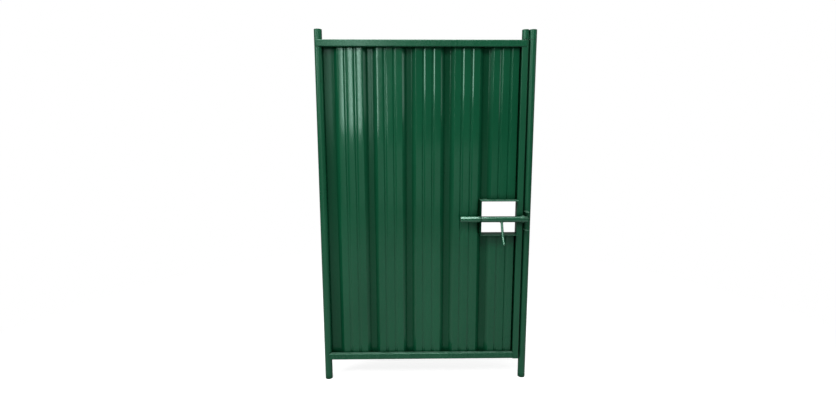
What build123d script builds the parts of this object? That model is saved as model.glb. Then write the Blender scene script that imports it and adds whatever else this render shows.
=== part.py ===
from build123d import *
import math
import os

# Pedestrian gate for a site hoarding, in millimetres.
# X runs along the gate, from the hinge post (negative) to the latch post.
# Y runs away from the side that carries the bolt. Z is up.
# The origin is the centre of the latch post's foot.

# Overall sizes
gate_width = 1200.0
gate_height = 2000.0

# Round posts
post_d = 42.4
post_wall = 2.6
foot_disc_t = 4.0

# Rails: lipped channels, bent from strip
rail_height = 36.0
rail_wall = 3.0
rail_bend_r = 4.0
post_clear = 1.0
bottom_rail_z = 125.0
post_over_rail = 55.0
top_lap_past_axis = 9.0
top_lap_on_stile = 24.0
bottom_lap_on_post = 12.0

# Lock stile: rectangular tube with a cap in each end
stile_w = 35.0
stile_wall = 2.5
stile_corner_r = 4.0
leaf_gap = 5.5
cap_t = 4.0
cap_edge_r = 2.0
cap_plug_depth = 12.0
cap_plug_wall = 2.0
cap_fit = 0.2

# Profiled sheet
sheet_depth = 22.0
sheet_t = 1.0
crown_pitch = 213.0
crown_w = 138.0
first_crown = 76.6
web_run = 22.0
bead_w = 19.0
bead_flat = 7.0
bead_depth = 4.0
bead_count = 2
sheet_post_gap = 0.5
end_web_run = 6.0

# Window for reaching the bolt, framed by flat bar
window_z = 883.5
window_h = 191.5
window_w = 207.0
frame_bar_t = 3.0
frame_rear_proud = 2.0
frame_edge = 3.5

# Slide bolt
bolt_d = 33.7
bolt_wall = 2.6
bolt_z = 971.0
bolt_length = 378.0
bolt_short_of_axis = 5.5
bolt_hole_clear = 0.6
ring_d = 42.4
ring_clear = 0.3
ring_w = 14.0

# Bolt handle: a bent round rod
handle_d = 14.0
handle_from_nose = 147.0
handle_drop = 93.0
handle_forward = 45.0
handle_tip_drop = 38.0
handle_tip_forward = 40.0
handle_bend_r = 16.0

# Keeper on the latch post: two lugs of flat bar, over and under the bolt
keeper_t = 4.0
keeper_above = 38.0
keeper_below = 62.5
keeper_forward = 62.0
keeper_back = 8.0
keeper_left_gap = 7.0
keeper_w = 19.0

# Head of the latch post and the stop stub beside it
head_h = 53.0
stub_d = 38.0
stub_wall = 2.6
lift_gap = 5.0

# Worked-out places
post_r = post_d / 2
hinge_x = post_d - gate_width
top_rail_top = gate_height - post_over_rail
rail_inner = post_r + post_clear
rail_outer = rail_inner + rail_wall
stile_right = -post_r - leaf_gap
stile_left = stile_right - stile_w
stile_front = -rail_inner
floor_back = rail_inner - stile_corner_r
crown_y = floor_back - sheet_depth
floor_y = floor_back - sheet_t
sheet_bottom = bottom_rail_z + rail_wall
sheet_top = top_rail_top - rail_wall
ring_y = stile_front - ring_d / 2
ring_wall = (ring_d - bolt_d) / 2 - ring_clear
bolt_y = ring_y
bolt_nose_x = -bolt_short_of_axis
bolt_tail_x = bolt_nose_x - bolt_length
bolt_hole_r = bolt_d / 2 + bolt_hole_clear
frame_front = bolt_y - bolt_hole_r - frame_edge
frame_rear = floor_back + frame_rear_proud
window_left = stile_left - window_w
window_top = window_z + window_h
head_bottom = gate_height - head_h

os.makedirs("parts", exist_ok=True)


def save(piece, label):
    piece.label = label
    export_step(piece, f"parts/{label}.step")


def tube(x, y, z0, z1, diameter, wall):
    """Upright round tube with open ends."""
    with BuildPart() as made:
        with BuildSketch(Plane.XY.offset(z0)):
            with Locations((x, y)):
                Circle(diameter / 2)
                Circle(diameter / 2 - wall, mode=Mode.SUBTRACT)
        extrude(amount=z1 - z0)
    return made.part


def foot_disc(x):
    """Disc welded inside the foot of a post, flush with its end."""
    with BuildPart() as made:
        with BuildSketch(Plane.XY):
            with Locations((x, 0)):
                Circle(post_r - post_wall)
        extrude(amount=foot_disc_t)
    return made.part


def post_core(x):
    """Full round of a post, for coping what meets it."""
    with BuildPart() as made:
        with BuildSketch(Plane.XY):
            with Locations((x, 0)):
                Circle(post_r)
        extrude(amount=gate_height)
    return made.part


def block(x0, x1, y0, y1, z0, z1):
    """Rectangular block between two corners."""
    with BuildPart() as made:
        with BuildSketch(Plane.XY.offset(z0)):
            with Locations(((x0 + x1) / 2, (y0 + y1) / 2)):
                Rectangle(x1 - x0, y1 - y0)
        extrude(amount=z1 - z0)
    return made.part


hinge_core = post_core(hinge_x)
latch_core = post_core(0)

# Posts
save(tube(0, 0, 0, head_bottom, post_d, post_wall), "latch_post")
save(tube(hinge_x, 0, 0, gate_height, post_d, post_wall), "hinge_post")
save(foot_disc(0), "latch_post_foot_disc")
save(foot_disc(hinge_x), "hinge_post_foot_disc")

# Head of the latch post, and the stub that stops the leaf being lifted
save(tube(0, 0, head_bottom, gate_height, post_d, post_wall), "latch_post_head")
stub_x = -post_r - stub_d / 2
stub_bottom = top_rail_top + lift_gap
save(tube(stub_x, 0, stub_bottom, gate_height, stub_d, stub_wall), "lift_stop_stub")


def rail(x0, x1, web_z, flange_sign):
    """Lipped channel along X. Its web is at web_z and its flanges run the
    way of flange_sign, ending in lips that hold the sheet's crowns."""
    lip_z = web_z + flange_sign * rail_height
    outline = [
        (floor_back, lip_z),
        (rail_outer, lip_z),
        (rail_outer, web_z),
        (-rail_outer, web_z),
        (-rail_outer, lip_z),
        (crown_y, lip_z),
    ]
    inside = Side.RIGHT if flange_sign > 0 else Side.LEFT
    with BuildPart() as made:
        with BuildSketch(Plane.YZ.offset(x0)):
            with BuildLine():
                FilletPolyline(*outline, radius=rail_bend_r)
                offset(amount=rail_wall, side=inside, closed=True)
            make_face()
        extrude(amount=x1 - x0)
    return made.part


# Top rail: its flanges lap over the hinge post and the stile
top_left = hinge_x - top_lap_past_axis
top_right = stile_left + top_lap_on_stile
with BuildPart() as top_rail:
    add(rail(top_left, top_right, top_rail_top, -1))
    low = top_rail_top - 2 * rail_height
    add(block(top_left, hinge_x, -rail_inner, rail_inner, low, gate_height), mode=Mode.SUBTRACT)
    add(block(stile_left, top_right, -rail_inner, rail_inner, low, gate_height), mode=Mode.SUBTRACT)
    add(hinge_core, mode=Mode.SUBTRACT)
save(top_rail.part, "top_rail")

# Bottom rail: coped round the hinge post, butted to the stile
with BuildPart() as bottom_rail:
    add(rail(hinge_x + post_r - bottom_lap_on_post, stile_left, bottom_rail_z, 1))
    add(hinge_core, mode=Mode.SUBTRACT)
save(bottom_rail.part, "bottom_rail")

# Lock stile
stile_mid = (stile_left + stile_right) / 2
stile_depth = 2 * rail_inner
stile_z0 = bottom_rail_z
stile_z1 = top_rail_top - cap_t
with BuildPart() as lock_stile:
    with BuildSketch(Plane.XY.offset(stile_z0)):
        with Locations((stile_mid, 0)):
            RectangleRounded(stile_w, stile_depth, stile_corner_r)
            RectangleRounded(
                stile_w - 2 * stile_wall,
                stile_depth - 2 * stile_wall,
                stile_corner_r - stile_wall,
                mode=Mode.SUBTRACT,
            )
    extrude(amount=stile_z1 - stile_z0)
save(lock_stile.part, "lock_stile")


def stile_cap(z_seat, outward):
    """Cap with a rounded rim and a hollow plug that fits in the stile."""
    plug_w = stile_w - 2 * stile_wall - 2 * cap_fit
    plug_depth = stile_depth - 2 * stile_wall - 2 * cap_fit
    with BuildPart() as made:
        with BuildSketch(Plane.XY.offset(z_seat)):
            with Locations((stile_mid, 0)):
                RectangleRounded(stile_w, stile_depth, stile_corner_r)
        extrude(amount=outward * cap_t)
        outer = made.faces().sort_by(Axis.Z)[-1 if outward > 0 else 0]
        fillet(outer.edges(), radius=min(cap_edge_r, cap_t / 2))
        with BuildSketch(Plane.XY.offset(z_seat)):
            with Locations((stile_mid, 0)):
                RectangleRounded(plug_w, plug_depth, stile_corner_r - stile_wall)
                Rectangle(
                    plug_w - 2 * cap_plug_wall,
                    plug_depth - 2 * cap_plug_wall,
                    mode=Mode.SUBTRACT,
                )
        extrude(amount=-outward * cap_plug_depth)
    return made.part


save(stile_cap(stile_z1, 1), "stile_cap_top")
save(stile_cap(stile_z0, -1), "stile_cap_bottom")


def crown_points(left):
    """Front line of one crown, from the foot of its left web to the foot
    of its right web, with its shallow stiffening grooves."""
    points = [(left - web_run, floor_y), (left, crown_y)]
    strip = (crown_w - bead_count * bead_w) / (bead_count + 1)
    wall = (bead_w - bead_flat) / 2
    x = left
    for _ in range(bead_count):
        x += strip
        points.append((x, crown_y))
        points.append((x + wall, crown_y + bead_depth))
        points.append((x + wall + bead_flat, crown_y + bead_depth))
        x += bead_w
        points.append((x, crown_y))
    points.append((left + crown_w, crown_y))
    points.append((left + crown_w + web_run, floor_y))
    return points


sheet_left = hinge_x + math.sqrt(post_r**2 - floor_y**2) + sheet_post_gap
crown_zero = hinge_x + post_r + first_crown
crown_total = int((stile_left - end_web_run - crown_w - crown_zero) / crown_pitch) + 1


def sheet_line():
    """Whole front line of the sheet, from the hinge post to the stile."""
    points = [(sheet_left, floor_y)]
    for k in range(crown_total):
        points += crown_points(crown_zero + k * crown_pitch)
    points[-1] = (stile_left, floor_y)
    return points


with BuildPart() as whole_sheet:
    with BuildSketch(Plane.XY.offset(sheet_bottom)):
        with BuildLine():
            Polyline(*sheet_line())
            offset(amount=sheet_t, side=Side.LEFT, closed=True, kind=Kind.INTERSECTION)
        make_face()
    extrude(amount=sheet_top - sheet_bottom)


def sheet_piece(x0, x1, z0, z1, label):
    """The stretch of the sheet between two upright and two level cuts."""
    with BuildPart() as made:
        add(whole_sheet.part)
        add(block(x0, x1, -rail_outer, rail_outer, z0, z1), mode=Mode.INTERSECT)
    save(made.part, label)


# Sheet, cut round the window frame
frame_outer_left = window_left - frame_bar_t
frame_outer_top = window_top + frame_bar_t
frame_outer_bottom = window_z - frame_bar_t
sheet_piece(sheet_left, frame_outer_left, sheet_bottom, sheet_top, "sheet_main")
sheet_piece(frame_outer_left, stile_left, frame_outer_top, sheet_top, "sheet_over_window")
sheet_piece(frame_outer_left, stile_left, sheet_bottom, frame_outer_bottom, "sheet_under_window")

# Window frame: flat bars on edge, the left one bored for the bolt
save(
    block(frame_outer_left, stile_left, frame_front, frame_rear, window_top, frame_outer_top),
    "window_bar_top",
)
save(
    block(frame_outer_left, stile_left, frame_front, frame_rear, frame_outer_bottom, window_z),
    "window_bar_bottom",
)
with BuildPart() as window_bar_left:
    add(block(frame_outer_left, window_left, frame_front, frame_rear, window_z, window_top))
    with BuildSketch(Plane.YZ.offset(frame_outer_left)):
        with Locations((bolt_y, bolt_z)):
            Circle(bolt_hole_r)
    extrude(amount=frame_bar_t, mode=Mode.SUBTRACT)
save(window_bar_left.part, "window_bar_left")


def round_along_x(x0, x1, diameter, wall):
    """Round tube on the bolt's axis."""
    with BuildPart() as made:
        with BuildSketch(Plane.YZ.offset(x0)):
            with Locations((bolt_y, bolt_z)):
                Circle(diameter / 2)
                Circle(diameter / 2 - wall, mode=Mode.SUBTRACT)
        extrude(amount=x1 - x0)
    return made.part


# Slide bolt and the ring on the stile that guides it
save(round_along_x(bolt_tail_x, bolt_nose_x, bolt_d, bolt_wall), "bolt_tube")
save(round_along_x(stile_right - ring_w, stile_right, ring_d, ring_wall), "bolt_guide_ring")

# Bolt handle, coped to the bolt where it starts
handle_x = bolt_nose_x - handle_from_nose
with BuildPart() as bolt_core:
    with BuildSketch(Plane.YZ.offset(bolt_tail_x)):
        with Locations((bolt_y, bolt_z)):
            Circle(bolt_d / 2)
    extrude(amount=bolt_length)
handle_elbow = (handle_x, bolt_y - handle_forward, bolt_z - handle_drop)
handle_end = (
    handle_x,
    handle_elbow[1] - handle_tip_forward,
    handle_elbow[2] - handle_tip_drop,
)
with BuildPart() as bolt_handle:
    with BuildLine() as handle_path:
        FilletPolyline((handle_x, bolt_y, bolt_z), handle_elbow, handle_end, radius=handle_bend_r)
    with BuildSketch(Plane(handle_path.line @ 0, z_dir=handle_path.line % 0)):
        Circle(handle_d / 2)
    sweep()
    add(bolt_core.part, mode=Mode.SUBTRACT)
save(bolt_handle.part, "bolt_handle")

# Keeper: two lugs of flat bar, coped to the post
keeper_left_x = stile_right + keeper_left_gap


def keeper_lug(z0, label):
    with BuildPart() as made:
        add(
            block(
                keeper_left_x,
                keeper_left_x + keeper_w,
                -keeper_forward,
                -keeper_back,
                z0,
                z0 + keeper_t,
            )
        )
        add(latch_core, mode=Mode.SUBTRACT)
    save(made.part, label)


keeper_lug(bolt_z + keeper_above, "keeper_lug_top")
keeper_lug(bolt_z - keeper_below - keeper_t, "keeper_lug_bottom")
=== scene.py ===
import math
import random

import bmesh
import bpy
from mathutils import Matrix, Vector


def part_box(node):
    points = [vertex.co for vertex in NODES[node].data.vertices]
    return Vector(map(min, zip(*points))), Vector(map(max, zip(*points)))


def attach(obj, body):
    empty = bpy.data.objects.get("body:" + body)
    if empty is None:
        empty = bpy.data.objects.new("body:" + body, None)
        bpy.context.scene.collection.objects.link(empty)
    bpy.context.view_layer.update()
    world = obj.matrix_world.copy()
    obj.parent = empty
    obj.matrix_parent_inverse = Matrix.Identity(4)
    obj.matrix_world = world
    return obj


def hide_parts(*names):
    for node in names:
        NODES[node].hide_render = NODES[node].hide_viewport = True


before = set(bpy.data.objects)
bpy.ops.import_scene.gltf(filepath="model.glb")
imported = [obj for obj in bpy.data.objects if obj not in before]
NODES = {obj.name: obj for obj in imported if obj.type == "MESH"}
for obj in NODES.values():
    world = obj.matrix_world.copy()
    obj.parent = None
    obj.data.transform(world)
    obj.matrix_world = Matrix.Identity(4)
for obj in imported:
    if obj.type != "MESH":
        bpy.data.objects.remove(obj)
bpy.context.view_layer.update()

scene = bpy.context.scene
rng = random.Random(41)
MM = 0.001
# A full turn, rounded, for random phases and ripples
LOOSE_TURN = 6.28
SHARP_ANGLE = math.radians(40)

# Camera, fitted to the photograph: pixels, metres and degrees
PHOTO_WIDTH = 836.0
FOCAL_PIXELS = 427.0
SENSOR_WIDTH = 36.0
CAMERA_PLACE = (-0.6573, -2.400, 1.421)
CAMERA_YAW = -0.839
CAMERA_PITCH = 8.179
CAMERA_ROLL = -0.079

# Colours, linear
GREEN = (0.0035, 0.070, 0.0295)
GREEN_LIGHT = (0.0055, 0.080, 0.0350)
SHEEN = (0.66, 1.0, 0.86)
# Reflection tint where the painted shade lies: painted shade on the reflections
SHEEN_IN_SHADE = (0.0, 0.10, 0.06)
CHALK = (0.085, 0.165, 0.120)
# Lighter green on what faces up: partly dust, partly painted light on the tops
DUST_AND_TOP_LIGHT = (0.075, 0.150, 0.110)
# Near-black green: painted shade in corners and valleys
SHADE_GREEN = (0.0002, 0.012, 0.003)
STEEL = (0.22, 0.27, 0.25)
FLOOR_GREY = (0.45, 0.45, 0.45, 1)

# Coating: noise scales are in cycles per metre, strengths run from 0 to 1
TONE_SCALE = 5.0
TONE_STRETCH = 0.35
MOTTLE_SCALE = 130.0
MOTTLE_MOST = 0.22
CHIP_SCALE = 70.0
EDGE_RADIUS = 1.6 * MM
EDGE_SAMPLES = 4
NOOK_REACH = 50 * MM
NOOK_SAMPLES = 10
NOOK_OPEN = 0.84
NOOK_DEEP = 0.40
# The most painted shade in deep corners
CORNER_SHADE_MOST = 0.80
# The most painted shade at the back of the valleys
VALLEY_SHADE_MOST = 0.42
DUST_AND_TOP_LIGHT_SCALE = 24.0
SMEAR_SCALE = 30.0
SMEAR_STRETCH = 1.1
SMEAR_MOST = 0.04
PEEL_SCALE = 420.0
PEEL_HEIGHT = 0.35 * MM
RUB_FADE_OUT = 6 * MM
RUB_FADE_IN = 4 * MM
RUB_MOST = 0.30
SCRATCH_ALONG = 6.0
SCRATCH_ACROSS = 260.0

# Stage
FLOOR_HALF = 60.0
FLOOR_PLACE = (-0.58, 0.0, -0.0005)
FLOOR_LIFT = 0.80
FLOOR_FADE = (1.2, 3.2)
ROOM_LOW = 0.04
ROOM_HIGH = 0.12
BACKDROP = 0.15

# Lamps: place, aim, width, height, radiance
LAMPS = {
    "key_top": ((-0.6, -3.6, 4.9), (-0.6, 0.0, 1.0), 2.3, 1.8, 12.0),
    "overhead": ((-0.6, -0.45, 5.2), (-0.6, 0.0, 1.0), 3.0, 1.0, 18.0),
    "shine": ((-1.75, -6.0, 3.05), (-0.95, 0.0, 1.7), 0.38, 3.0, 12.0),
    "left": ((-3.4, -1.85, 2.95), (-0.6, 0.0, 1.5), 1.0, 2.0, 8.0),
    "right": ((3.0, -0.60, 2.80), (-0.9, 0.0, 1.6), 0.8, 2.2, 2.0),
    "front_low": ((-0.6, -6.0, 0.7), (-0.6, 0.0, 1.0), 3.2, 1.2, 0.5),
}

# Profile of the sheet, in millimetres
SHEET_T = 1.0
CROWNS = 5
FIRST_CROWN_X = -1059.8
CROWN_PITCH = 213.0
CROWN_W = 138.0
WEB_RUN = 22.0
BEADS = 2
BEAD_W = 19.0
BEAD_SLOPE = 6.0
BEAD_DEPTH = 4.0
BEND = {"foot": 6.0, "crown": 3.0, "bead": 2.2}
BEND_STEPS = 4
STRIP_BOW = 0.22
BOWED_FROM = 15.0
FULL_BOW_AT = 33.0
SHEET_ROWS = 48
DENT = 0.10
DENT_WAVES = 7
DENT_FADE = 120.0

# Weld beads, in millimetres
WELD_STEP = 0.55
WELD_SIDES = 8
WELD_WANDER = 0.10
WELD_TAPER = 2.0
WELD_PROUD = 0.7
# How far the dark ring of painted shade under the head sits inside the post
SHADE_RING_SUNK = 1.25
HANDLE_FORWARD = 45.0
HANDLE_DROP = 93.0


def box_mm(node):
    """Low and high corner of a node's box, in millimetres."""
    low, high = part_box(node)
    return low / MM, high / MM


def make_camera():
    data = bpy.data.cameras.new("camera")
    cam = bpy.data.objects.new("camera", data)
    scene.collection.objects.link(cam)
    data.sensor_width = SENSOR_WIDTH
    data.lens = FOCAL_PIXELS / PHOTO_WIDTH * SENSOR_WIDTH
    data.clip_start = 0.05
    data.clip_end = 200.0
    yaw = Matrix.Rotation(math.radians(CAMERA_YAW), 4, "Z")
    pitch = Matrix.Rotation(math.pi / 2 - math.radians(CAMERA_PITCH), 4, "X")
    roll = Matrix.Rotation(math.radians(CAMERA_ROLL), 4, "Z")
    cam.matrix_world = Matrix.Translation(CAMERA_PLACE) @ yaw @ pitch @ roll
    scene.camera = cam


# Node trees
class Tree:
    """Short calls that add a shader node, link it and give its output."""

    def __init__(self, tree):
        self.tree = tree
        tree.nodes.clear()

    def add(self, kind, **settings):
        node = self.tree.nodes.new(kind)
        for key, value in settings.items():
            setattr(node, key, value)
        return node

    def link(self, output, socket):
        self.tree.links.new(output, socket)

    def put(self, node, name, value):
        if isinstance(value, bpy.types.NodeSocket):
            self.link(value, node.inputs[name])
        else:
            node.inputs[name].default_value = value

    def math(self, op, a, b=0.0):
        node = self.add("ShaderNodeMath", operation=op)
        self.put(node, 0, a)
        self.put(node, 1, b)
        return node.outputs[0]

    def span(self, value, low, high, to_low=0.0, to_high=1.0):
        node = self.add("ShaderNodeMapRange", clamp=True)
        for k, v in enumerate((value, low, high, to_low, to_high)):
            self.put(node, k, v)
        return node.outputs[0]

    def noise(self, vector, scale, detail=2.0, roughness=0.5):
        node = self.add("ShaderNodeTexNoise")
        self.put(node, "Vector", vector)
        self.put(node, "Scale", scale)
        self.put(node, "Detail", detail)
        self.put(node, "Roughness", roughness)
        return node.outputs["Fac"]

    def stretch(self, vector, *factors):
        node = self.add("ShaderNodeVectorMath", operation="MULTIPLY")
        self.put(node, 0, vector)
        self.put(node, 1, factors)
        return node.outputs[0]

    def split(self, vector):
        node = self.add("ShaderNodeSeparateXYZ")
        self.link(vector, node.inputs[0])
        return node.outputs

    def mix(self, factor, a, b):
        node = self.add("ShaderNodeMix", data_type="RGBA")
        self.put(node, 0, factor)
        for name, value in ((6, a), (7, b)):
            self.put(node, name, value if isinstance(value, bpy.types.NodeSocket) else (*value, 1.0))
        return node.outputs[2]


def new_material(name):
    mat = bpy.data.materials.new(name)
    mat.use_nodes = True
    return mat, Tree(mat.node_tree)


# Layers of the coating
def shade(colour, factor):
    return tuple(c * factor for c in colour)


def green_layer(t, at, mottle, drift, shade_darkening):
    """Green that drifts slowly, mostly across, with a fine mottle."""
    tone = t.noise(t.stretch(at, 1.0, 1.0, TONE_STRETCH), TONE_SCALE, 3.0)
    # The darkening factor scales the whole green: painted shade for darker copies of the coat
    colour = t.mix(t.span(tone, 0.3, 0.7), shade(GREEN, (1 - drift) * shade_darkening), shade(GREEN_LIGHT, shade_darkening))
    return t.mix(t.span(mottle, 0.45, 0.75, 0.0, MOTTLE_MOST), colour, shade(GREEN, 0.8 * shade_darkening))


def worn_edges(t, at, bevelled, normal, wear):
    """How far the coat is chipped, on edges only."""
    facing = t.add("ShaderNodeVectorMath", operation="DOT_PRODUCT")
    t.link(bevelled, facing.inputs[0])
    t.link(normal, facing.inputs[1])
    edge = t.span(facing.outputs["Value"], 0.995, 0.90)
    chips = t.span(t.noise(at, CHIP_SCALE, 4.0, 0.7), 0.50, 0.68)
    return t.math("MULTIPLY", edge, t.math("MULTIPLY", chips, wear))


def painted_shade_amount(t, at, facing, valley):
    """Painted shade: darkening in deep corners, and in the valleys seen from the front."""
    nook = t.add("ShaderNodeAmbientOcclusion", samples=NOOK_SAMPLES)
    nook.inputs["Distance"].default_value = NOOK_REACH
    painted_shade = t.span(nook.outputs["AO"], NOOK_OPEN, NOOK_DEEP, 0.0, CORNER_SHADE_MOST)
    if valley:
        # Painted shade in the valleys, growing with depth, on faces that look to the front
        valley_shade = t.span(t.split(at)[1], *valley, 0.0, VALLEY_SHADE_MOST)
        valley_shade = t.math("MULTIPLY", valley_shade, t.span(facing[1], 0.1, -0.1))
        painted_shade = t.math("MAXIMUM", painted_shade, valley_shade)
    return painted_shade


def dust_and_top_light_amount(t, at, facing, dust_and_top_light_most):
    """Lighter green on what faces up: partly dust, partly painted light on the tops."""
    flat = t.span(facing[2], 0.55, 0.95)
    return t.math("MULTIPLY", flat, t.span(t.noise(at, DUST_AND_TOP_LIGHT_SCALE, 4.0, 0.65), 0.35, 0.7, dust_and_top_light_most * 0.3, dust_and_top_light_most))


def rubbed_amount(t, at, bands):
    """Scratches along X where the bolt runs in its holders."""
    x = t.split(at)[0]
    band = 0.0
    for low, high in bands:
        rise = t.span(x, low - RUB_FADE_OUT, low + RUB_FADE_IN)
        fall = t.span(x, high + RUB_FADE_OUT, high - RUB_FADE_IN)
        band = t.math("MAXIMUM", t.math("MULTIPLY", rise, fall), band)
    lines = t.stretch(at, SCRATCH_ALONG, SCRATCH_ACROSS, SCRATCH_ACROSS)
    scratch = t.span(t.noise(lines, 1.0, 4.0, 0.7), 0.50, 0.66)
    return t.math("MULTIPLY", band, t.math("MULTIPLY", scratch, RUB_MOST))


def roughness_map(t, at, mottle, dust_and_top_light, painted_shade, rough):
    """Mottled gloss with upright smears, duller under the dust and painted top light, and under the painted
    shade.
    """
    gloss = t.span(mottle, 0.3, 0.7, rough - 0.03, rough + 0.05)
    streaks = t.stretch(at, SMEAR_SCALE, SMEAR_SCALE, SMEAR_STRETCH)
    smear = t.span(t.noise(streaks, 1.0, 3.0, 0.6), 0.35, 0.7, 0.0, SMEAR_MOST)
    gloss = t.math("ADD", gloss, smear)
    gloss = t.math("ADD", gloss, t.math("MULTIPLY", dust_and_top_light, 0.35))
    return t.math("ADD", gloss, t.math("MULTIPLY", painted_shade, 0.15))


def coating(name, rough=0.30, drift=0.10, wear=0.5, peel=0.05, rub=None, soft=True,
            valley=None, shade_darkening=1.0, dust_and_top_light_most=0.42, shine=0.5):
    """Powder coat: drifting tone, mottled gloss, orange peel, pale worn edges,
    painted shade that darkens deep corners, and a lighter green on what faces
    up that is partly dust and partly painted light on the tops. rub gives
    (x0, x1) bands scratched to bare metal, valley=(y0, y1) painted shade that
    grows with depth, the darkening factor makes a darker copy of the green as
    painted shade, and soft rounds the edges in the shading."""
    mat, t = new_material(name)
    out = t.add("ShaderNodeOutputMaterial")
    bsdf = t.add("ShaderNodeBsdfPrincipled")
    t.link(bsdf.outputs[0], out.inputs[0])
    at = t.add("ShaderNodeTexCoord").outputs["Object"]
    normal = t.add("ShaderNodeNewGeometry").outputs["Normal"]
    facing = t.split(normal)
    mottle = t.noise(at, MOTTLE_SCALE, 3.0, 0.6)
    bevel = t.add("ShaderNodeBevel", samples=EDGE_SAMPLES)
    bevel.inputs["Radius"].default_value = EDGE_RADIUS

    colour = green_layer(t, at, mottle, drift, shade_darkening)
    if wear:
        colour = t.mix(worn_edges(t, at, bevel.outputs[0], normal, wear), colour, CHALK)
    # Painted shade darkens the green in deep corners and valleys
    painted_shade = painted_shade_amount(t, at, facing, valley)
    # A lighter green on upward faces: partly dust, partly painted light on the tops
    dust_and_top_light = dust_and_top_light_amount(t, at, facing, dust_and_top_light_most)
    colour = t.mix(dust_and_top_light, t.mix(painted_shade, colour, SHADE_GREEN), DUST_AND_TOP_LIGHT)
    if rub:
        bare = rubbed_amount(t, at, rub)
        colour = t.mix(bare, colour, STEEL)
        t.link(t.math("MULTIPLY", bare, 0.9), bsdf.inputs["Metallic"])

    t.link(colour, bsdf.inputs["Base Color"])
    t.link(roughness_map(t, at, mottle, dust_and_top_light, painted_shade, rough), bsdf.inputs["Roughness"])
    # Reflection tint, dimmed to dark green where the painted shade lies: painted shade on the reflections
    t.link(t.mix(painted_shade, SHEEN, SHEEN_IN_SHADE), bsdf.inputs["Specular Tint"])
    bsdf.inputs["IOR"].default_value = 1.5
    bsdf.inputs["Specular IOR Level"].default_value = shine

    bump = t.add("ShaderNodeBump")
    bump.inputs["Strength"].default_value = peel
    bump.inputs["Distance"].default_value = PEEL_HEIGHT
    t.link(t.noise(at, PEEL_SCALE, 2.0, 0.5), bump.inputs["Height"])
    t.link(bevel.outputs[0] if soft else normal, bump.inputs["Normal"])
    t.link(bump.outputs[0], bsdf.inputs["Normal"])
    return mat


def dress(mat, *nodes):
    """Gives the CAD nodes a material, in their own slots."""
    for name in nodes:
        for slot in NODES[name].material_slots:
            slot.link = "OBJECT"
            slot.material = mat


# Floor and backdrop
def ray_kinds(t):
    """Outputs for rays that come straight or through glass, and for glossy rays."""
    path = t.add("ShaderNodeLightPath")
    seen = t.math("MAXIMUM", path.outputs["Is Camera Ray"], path.outputs["Is Transmission Ray"])
    return seen, path.outputs["Is Glossy Ray"]


def floor_material():
    """Grey floor that keeps its shadow near the gate and fades to white."""
    mat, t = new_material("floor_white")
    out = t.add("ShaderNodeOutputMaterial")
    diffuse = t.add("ShaderNodeBsdfDiffuse")
    diffuse.inputs["Color"].default_value = FLOOR_GREY
    seen = ray_kinds(t)[0]
    reach = t.add("ShaderNodeVectorMath", operation="LENGTH")
    t.link(t.add("ShaderNodeTexCoord").outputs["Object"], reach.inputs[0])
    far = t.span(reach.outputs["Value"], *FLOOR_FADE)
    lift = t.add("ShaderNodeEmission")
    t.link(t.math("MULTIPLY", seen, FLOOR_LIFT), lift.inputs["Strength"])
    near = t.add("ShaderNodeAddShader")
    t.link(diffuse.outputs[0], near.inputs[0])
    t.link(lift.outputs[0], near.inputs[1])
    glow = t.add("ShaderNodeEmission")
    t.link(seen, glow.inputs["Strength"])
    both = t.add("ShaderNodeMixShader")
    t.link(t.math("MULTIPLY", far, seen), both.inputs[0])
    t.link(near.outputs[0], both.inputs[1])
    t.link(glow.outputs[0], both.inputs[2])
    t.link(both.outputs[0], out.inputs[0])
    return mat


def make_floor():
    bm = bmesh.new()
    bmesh.ops.create_grid(bm, x_segments=2, y_segments=2, size=FLOOR_HALF)
    mesh = bpy.data.meshes.new("floor")
    bm.to_mesh(mesh)
    bm.free()
    floor = bpy.data.objects.new("floor", mesh)
    floor.location = FLOOR_PLACE
    scene.collection.objects.link(floor)
    mesh.materials.append(floor_material())


def make_world():
    """White seen directly, a dim room that brightens upward as light, and a
    soft backdrop behind the gate for glossy rays."""
    world = bpy.data.worlds.new("studio")
    scene.world = world
    world.use_nodes = True
    t = Tree(world.node_tree)
    out = t.add("ShaderNodeOutputWorld")
    back = t.add("ShaderNodeBackground")
    back.inputs["Color"].default_value = (1, 1, 1, 1)
    seen, glossy = ray_kinds(t)
    way = t.split(t.add("ShaderNodeTexCoord").outputs["Generated"])
    room = t.span(way[2], -0.1, 0.75, ROOM_LOW, ROOM_HIGH)
    backdrop = t.math("MULTIPLY", t.span(way[1], 0.0, 0.5, 0.0, BACKDROP), glossy)
    strength = t.math("MAXIMUM", t.math("MAXIMUM", room, backdrop), seen)
    t.link(strength, back.inputs["Strength"])
    t.link(back.outputs[0], out.inputs[0])


def softbox(name, place, aim, width, height, radiance):
    data = bpy.data.lights.new(name, "AREA")
    data.shape = "RECTANGLE"
    data.size = width
    data.size_y = height
    data.energy = radiance * math.pi * width * height
    lamp = bpy.data.objects.new(name, data)
    scene.collection.objects.link(lamp)
    lamp.location = place
    lamp.rotation_euler = (Vector(aim) - Vector(place)).to_track_quat("-Z", "Y").to_euler()


# Pieces
def finish_piece(bm, name, body, mat):
    mesh = bpy.data.meshes.new(name)
    bm.to_mesh(mesh)
    bm.free()
    ob = bpy.data.objects.new(name, mesh)
    scene.collection.objects.link(ob)
    mesh.materials.append(mat)
    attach(ob, body)
    return ob


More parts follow.
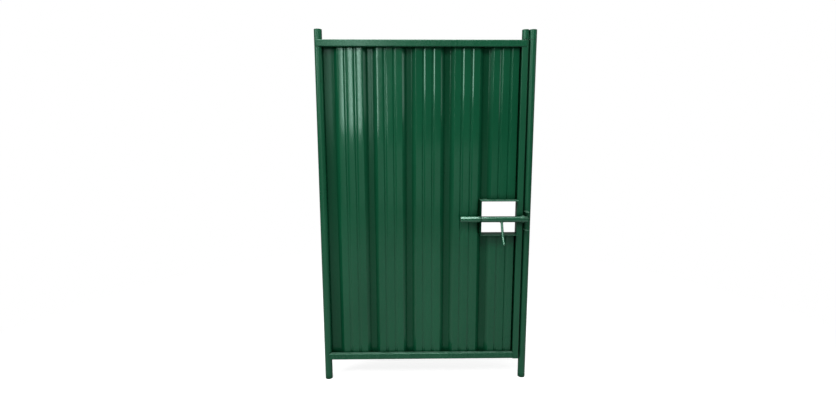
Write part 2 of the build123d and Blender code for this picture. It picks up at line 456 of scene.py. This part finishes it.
# Profiled sheet as one piece: the CAD profile with real bend radii and bowed
# strips, cut round the window
def sheet_corners():
    """Corners of the CAD profile as (x, y, bend), in millimetres."""
    low, high = box_mm("sheet_main")
    end = box_mm("sheet_over_window")[1].x
    back = high.y - SHEET_T
    front = low.y
    groove = front + BEAD_DEPTH
    strip = (CROWN_W - BEADS * BEAD_W) / (BEADS + 1)
    corners = [(low.x, back, None)]
    for k in range(CROWNS):
        x = FIRST_CROWN_X + k * CROWN_PITCH
        corners += [(x - WEB_RUN, back, "foot"), (x, front, "crown")]
        for _ in range(BEADS):
            x += strip
            corners += [(x, front, "bead"), (x + BEAD_SLOPE, groove, "bead")]
            corners += [(x + BEAD_W - BEAD_SLOPE, groove, "bead"), (x + BEAD_W, front, "bead")]
            x += BEAD_W
        x += strip
        corners += [(x, front, "crown"), (x + WEB_RUN, back, "foot")]
    corners[-1] = (end, back, None)
    return corners


def bend_arc(here, before, after, radius):
    """Points of the arc that rounds one corner of the profile."""
    u, v = before - here, after - here
    limit = min(u.length, v.length) * 0.45
    u.normalize()
    v.normalize()
    half = (math.pi - u.angle(v)) / 2
    cut = min(radius * math.tan(half), limit)
    centre = here + (u + v).normalized() * (cut / math.sin(half))
    first = here + u * cut - centre
    last = here + v * cut - centre
    turns = (first.lerp(last, i / BEND_STEPS).normalized() for i in range(BEND_STEPS + 1))
    return [centre + turn * first.length for turn in turns]


def add_strip(points, to):
    """Goes on to a point, by a line bowed to the front where the strip is wide."""
    start = points[-1]
    length = (to - start).length
    if length > BOWED_FROM and abs(to.y - start.y) < 1.0:
        bow = STRIP_BOW * min(1.0, length / FULL_BOW_AT)
        for s in (0.25, 0.5, 0.75):
            points.append(start.lerp(to, s) - Vector((0, bow * 4 * s * (1 - s))))
    points.append(to)


def rounded_line():
    """Front line of the sheet in millimetres, with an arc at each bend."""
    corners = sheet_corners()
    points = [Vector(corners[0][:2])]
    for before, here, after in zip(corners, corners[1:], corners[2:]):
        spots = [Vector(c[:2]) for c in (here, before, after)]
        arc_points = bend_arc(*spots, BEND[here[2]])
        add_strip(points, arc_points[0])
        points += arc_points[1:]
    add_strip(points, Vector(corners[-1][:2]))
    return points


def line_normals(line):
    """Unit normals of the line, towards the back of the sheet."""
    normals = []
    for i in range(len(line)):
        along = (line[min(i + 1, len(line) - 1)] - line[max(i - 1, 0)]).normalized()
        normals.append(Vector((-along.y, along.x)))
    return normals


def sheet_levels(low, high, hole_z):
    """Heights of the rows of the sheet, with the window's edges among them."""
    levels = [low + (high - low) * i / SHEET_ROWS for i in range(SHEET_ROWS + 1)]
    return sorted(set(round(z, 3) for z in levels + list(hole_z)))


def dent_waves():
    """Random waves as (rate in x, rate in z, phase, weight)."""
    waves = []
    for _ in range(DENT_WAVES):
        rates = rng.uniform(2.0, 7.0), rng.uniform(1.0, 4.0)
        waves.append((*rates, rng.uniform(0, LOOSE_TURN), rng.uniform(0.3, 1.0)))
    return waves


def sheet_faces(bm, front, back, is_hole):
    """Faces of both sides of the sheet, and the rims that join them."""
    for j in range(len(front) - 1):
        for i in range(len(front[0]) - 1):
            if is_hole(i, j):
                continue
            for grid, turned in ((front, False), (back, True)):
                quad = [grid[j][i], grid[j][i + 1], grid[j + 1][i + 1], grid[j + 1][i]]
                if turned:
                    quad.reverse()
                bm.faces.new(quad).smooth = True
    spot = {v: (j, i) for j, row in enumerate(front) for i, v in enumerate(row)}
    rims = [e for e in bm.edges if len(e.link_faces) == 1 and all(v in spot for v in e.verts)]
    for edge in rims:
        loop = next(l for l in edge.link_faces[0].loops if l.edge == edge)
        ends = (loop.link_loop_next.vert, loop.vert)
        partners = [back[j][i] for j, i in (spot[v] for v in reversed(ends))]
        bm.faces.new((*ends, *partners))
        edge.smooth = False


def build_sheet():
    low, high = box_mm("sheet_main")
    hole_x = box_mm("sheet_over_window")[0].x
    hole_z = (box_mm("sheet_under_window")[1].z, box_mm("sheet_over_window")[0].z)
    line = rounded_line()
    after = next(i for i, p in enumerate(line) if p.x > hole_x)
    a, b = line[after - 1], line[after]
    line.insert(after, a.lerp(b, (hole_x - a.x) / (b.x - a.x)))
    normals = line_normals(line)
    levels = sheet_levels(low.z, high.z, hole_z)
    waves = dent_waves()

    bm = bmesh.new()
    front, back = [], []
    for z in levels:
        fade = min(1.0, (z - low.z) / DENT_FADE, (high.z - z) / DENT_FADE)
        front_row, back_row = [], []
        for p, n in zip(line, normals):
            dent = sum(w * math.sin(fx * p.x * MM * 2 + fz * z * MM + ph) for fx, fz, ph, w in waves)
            y = max(p.y + dent * DENT * fade, low.y)
            rear_y = min(y + n.y * SHEET_T, high.y)
            front_row.append(bm.verts.new(Vector((p.x, y, z)) * MM))
            back_row.append(bm.verts.new(Vector((p.x + n.x * SHEET_T, rear_y, z)) * MM))
        front.append(front_row)
        back.append(back_row)

    def is_hole(i, j):
        middle = (levels[j] + levels[j + 1]) / 2
        return line[i].x >= hole_x - 1e-4 and hole_z[0] < middle < hole_z[1]

    sheet_faces(bm, front, back, is_hole)
    for v in [v for v in bm.verts if not v.link_faces]:
        bm.verts.remove(v)
    for edge in bm.edges:
        if len(edge.link_faces) == 2 and edge.calc_face_angle(0) > SHARP_ANGLE:
            edge.smooth = False
    sheet = finish_piece(bm, "profiled_sheet", "gate_leaf", SHEET)
    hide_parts("sheet_main", "sheet_over_window", "sheet_under_window")


# Weld beads, placed on the seams of the pieces they join
def weld_line(points):
    """The polyline in metres, cut into even short steps."""
    path = [Vector(p) * MM for p in points]
    line = []
    for a, b in zip(path, path[1:]):
        steps = max(1, round((b - a).length / (WELD_STEP * MM)))
        line += [a.lerp(b, i / steps) for i in range(steps)]
    return line + [path[-1]]


def weld(name, points, radius, body, mat=None, ripple=0.16, pitch=1.7):
    """A lumpy bead along a polyline of (x, y, z), in millimetres."""
    line = weld_line(points)
    bm = bmesh.new()
    rings = []
    phase = rng.uniform(0, LOOSE_TURN)
    walk = 0.0
    for i, p in enumerate(line):
        way = (line[min(i + 1, len(line) - 1)] - line[max(i - 1, 0)]).normalized()
        side = way.orthogonal().normalized() if i == 0 else (side - way * side.dot(way)).normalized()
        up = way.cross(side)
        walk += (p - line[i - 1]).length / MM if i else 0.0
        to_end = (len(line) - i) * WELD_STEP
        taper = min(1.0, (walk + 0.5) / WELD_TAPER, to_end / WELD_TAPER)
        r = radius * (0.45 + 0.55 * math.sqrt(taper)) * MM
        r *= 1 + ripple * math.sin(walk / pitch * LOOSE_TURN + phase) + rng.uniform(-0.06, 0.06)
        wander = Vector([rng.uniform(-1, 1) for _ in range(3)]) * (WELD_WANDER * MM)
        turns = [math.tau * k / WELD_SIDES for k in range(WELD_SIDES)]
        rings.append([bm.verts.new(p + wander + (side * math.cos(a) + up * math.sin(a)) * r) for a in turns])
    for near, far in zip(rings, rings[1:]):
        for k in range(WELD_SIDES):
            n = (k + 1) % WELD_SIDES
            bm.faces.new((near[k], near[n], far[n], far[k])).smooth = True
    bm.faces.new(tuple(reversed(rings[0])))
    bm.faces.new(tuple(rings[-1]))
    bmesh.ops.recalc_face_normals(bm, faces=bm.faces)
    finish_piece(bm, name, body, mat or WELD)


def arc(x, y, radius, start, stop, z, steps=24):
    """Points of a level arc; 0 degrees is +X, 90 is +Y."""
    turns = [math.radians(start + (stop - start) * i / steps) for i in range(steps + 1)]
    return [(x + radius * math.cos(t), y + radius * math.sin(t), z) for t in turns]


def post_radius(node):
    low, high = box_mm(node)
    return (high.x - low.x) / 2


def upright(x, y, low, high):
    return [(x, y, low), (x, y, high)]


def across(x, z, near, far):
    return [(x, near, z), (x, far, z)]


def build_rail_welds():
    """Upright seams of both rails and the stub, on the front and the rear."""
    hinge_low, hinge_high = box_mm("hinge_post")
    hinge_x = (hinge_low.x + hinge_high.x) / 2
    stile_left, stile_right = (c.x for c in box_mm("lock_stile"))
    top = [box_mm("top_rail")[0].z + 2, box_mm("top_rail")[1].z - 1]
    bottom = [box_mm("bottom_rail")[0].z + 2, box_mm("bottom_rail")[1].z - 1]
    stub_low = box_mm("lift_stop_stub")[0].z
    for side, word in ((-1, "front"), (1, "rear")):
        weld(f"weld_top_rail_hinge_{word}", upright(hinge_x - 9.6, side * 20.6, *top), 2.1, "gate_leaf")
        weld(f"weld_top_rail_stile_{word}",
             upright(stile_right - 10.3, side * 23.0, top[0] - 1, top[1] - 1), 1.7, "gate_leaf")
        weld(f"weld_bottom_rail_hinge_{word}",
             upright(hinge_x + 8.6, side * 20.8, *bottom), 2.1, "gate_leaf")
        weld(f"weld_bottom_rail_stile_{word}",
             upright(stile_left + 0.6, side * 22.8, *bottom), 1.9, "gate_leaf")
        weld(f"weld_stub_{word}", upright(-21.3, side * 7.4, stub_low + 2, stub_low + 26), 2.0, "latch_post")
    cope_radius = post_radius("hinge_post") + WELD_PROUD
    weld("weld_top_rail_cope", arc(hinge_x, 0, cope_radius, -72, 72, top[1] + 1.2), 1.7, "gate_leaf")
    weld("weld_bottom_rail_cope", arc(hinge_x, 0, cope_radius, -60, 60, bottom[0] - 2.1), 1.7, "gate_leaf")


def build_post_welds():
    """A dark ring of painted shade in the gap under the post's head, and beads at
    the stub's foot and the stile's foot. The ring is left open on the right, so
    that it stays inside the CAD box."""
    joint_z = box_mm("latch_post_head")[0].z
    shade_ring_r = post_radius("latch_post") - SHADE_RING_SUNK
    # Dark ring in the gap under the head: painted shade
    weld("shade_under_head", arc(0, 0, shade_ring_r, 15, 345, joint_z, 66), 1.65, "latch_post",
         mat=HOLE_SHADE, ripple=0.05, pitch=3.1)
    foot = [(-29.5, -13.6, 1949.4), (-23.4, -10.2, 1948.8), (-18.6, -11.8, 1948.4)]
    weld("weld_under_stub", foot, 2.2, "latch_post")
    seam = [(-59.5, -22.3, 144.0), (-44.0, -22.4, 139.5), (-29.5, -22.3, 134.5)]
    weld("weld_stile_foot", seam, 1.1, "gate_leaf", ripple=0.1)


def build_latch_welds():
    """Beads at the lugs, the guide ring and the handle."""
    bead_r = post_radius("latch_post") + WELD_PROUD
    for word in ("top", "bottom"):
        low, high = box_mm(f"keeper_lug_{word}")
        for z, end in ((low.z - 0.4, "under"), (high.z + 0.4, "over")):
            weld(f"weld_lug_{word}_{end}", arc(0, 0, bead_r, 205, 266, z), 1.6, "latch_post")
    low, high = box_mm("bolt_guide_ring")
    axis_z = (low.z + high.z) / 2
    for dz, word in ((9.6, "over"), (-9.6, "under")):
        bead = [(x, -23.2, axis_z + dz) for x in (low.x + 0.9, high.x - 0.9)]
        weld(f"weld_ring_{word}", bead, 1.9, "gate_leaf")
    build_handle_weld()


def build_handle_weld():
    """Bead round the rod where it leaves the bolt."""
    low, high = box_mm("bolt_tube")
    axis = (low + high) / 2
    bolt_r = (high.y - low.y) / 2
    low, high = box_mm("bolt_handle")
    bead_r = (high.x - low.x) / 2 + WELD_PROUD
    start = Vector(((low.x + high.x) / 2, axis.y, axis.z))
    drop = Vector((0, -HANDLE_FORWARD, -HANDLE_DROP)).normalized()
    sideways = Vector((0, drop.z, -drop.y))
    points = []
    for i in range(37):
        turn = math.tau * i / 36
        offset = bead_r * math.sin(turn)
        reach = math.sqrt(bolt_r ** 2 - offset ** 2) + 0.9
        points.append(start + Vector((bead_r * math.cos(turn), 0, 0)) + sideways * offset + drop * reach)
    weld("weld_handle", points, 2.2, "slide_bolt")


def build_window_welds():
    """Beads of the frame's bars, on the stile and in the left corners."""
    stile_x = box_mm("lock_stile")[0].x - 0.2
    corner_x = box_mm("window_bar_left")[1].x + 0.8
    top_low, top_high = (c.z for c in box_mm("window_bar_top"))
    bottom_low, bottom_high = (c.z for c in box_mm("window_bar_bottom"))
    for z, word in ((top_high + 0.4, "top"), (bottom_low + 1.5, "bottom")):
        weld(f"weld_bar_{word}_stile", across(stile_x, z, -21.6, 6.0), 1.3, "gate_leaf")
    for z, word in ((top_low - 0.8, "top"), (bottom_high + 0.8, "bottom")):
        weld(f"weld_bar_{word}_corner", across(corner_x, z, -63.0, -8.0), 1.3, "gate_leaf")


# Vent hole as a dark disc of painted shade, drips of coating and a rivet
def mark(name, x, y, z, radius, height, mat):
    """A small round blob on the leaf, flattened in Y by height."""
    bm = bmesh.new()
    bmesh.ops.create_uvsphere(bm, u_segments=14, v_segments=8, radius=radius * MM)
    for v in bm.verts:
        wobble = 1 + 0.12 * math.sin(3 * math.atan2(v.co.z, v.co.x) + x)
        v.co = Vector((v.co.x * wobble, v.co.y * height, v.co.z * wobble)) + Vector((x, y, z)) * MM
    for f in bm.faces:
        f.smooth = True
    finish_piece(bm, name, "gate_leaf", mat)


def build_marks():
    sheet_front = box_mm("sheet_main")[0].y
    # The vent hole is a dark disc: painted shade of its inside
    mark("vent_hole_shade_hinge_post", -1148.8, -19.25, 1729, 2.4, 0.25, HOLE_SHADE)
    mark("drip_stile_high", -31.8, -22.1, 1865, 2.1, 0.35, WELD)
    mark("drip_stile_low", -54.8, -22.1, 1531, 2.6, 0.40, WELD)
    mark("rivet_under_window", -173.8, sheet_front - 0.1, 871, 3.0, 0.40, WELD)


make_camera()
make_floor()
make_world()
for lamp_name, lamp_values in LAMPS.items():
    softbox(lamp_name, *lamp_values)
scene.view_settings.view_transform = "Standard"

TUBE = coating("coat_tube", rough=0.30, wear=0, soft=False)
SHEET = coating("coat_sheet", rough=0.11, wear=0, peel=0.03, soft=False, valley=(0.002, 0.015))
# Bars get the most lighter green on their tops: partly dust, partly painted light
BAR = coating("coat_bar", rough=0.24, wear=0.6, dust_and_top_light_most=0.85)
# Darker copy of the coat with little top light: painted shade on the window's bottom and left bars
SHADED_BAR = coating("coat_bar_shaded", rough=0.34, wear=0.5, shade_darkening=0.6, dust_and_top_light_most=0.05)
BOLT = coating("coat_bolt", rough=0.15, wear=0.7, shine=0.95, rub=((-0.272, -0.238), (-0.048, -0.006)))
CAP = coating("coat_cap", rough=0.30, wear=0.4, peel=0.06)
WELD = coating("coat_weld", rough=0.22, wear=0, soft=False)
# Near-black coat: painted shade inside the vent hole and the gap under the post's head
HOLE_SHADE = coating("coat_hole_shade", rough=0.60, wear=0, peel=0.02, soft=False, shade_darkening=0.08)

dress(TUBE, "latch_post", "latch_post_foot_disc", "latch_post_head", "lift_stop_stub",
      "hinge_post", "hinge_post_foot_disc", "lock_stile")
dress(BAR, "top_rail", "bottom_rail", "window_bar_top", "keeper_lug_top", "keeper_lug_bottom")
dress(SHADED_BAR, "window_bar_bottom", "window_bar_left")
dress(BOLT, "bolt_tube", "bolt_handle", "bolt_guide_ring")
dress(CAP, "stile_cap_top", "stile_cap_bottom")

build_sheet()
build_rail_welds()
build_post_welds()
build_latch_welds()
build_window_welds()
build_marks()
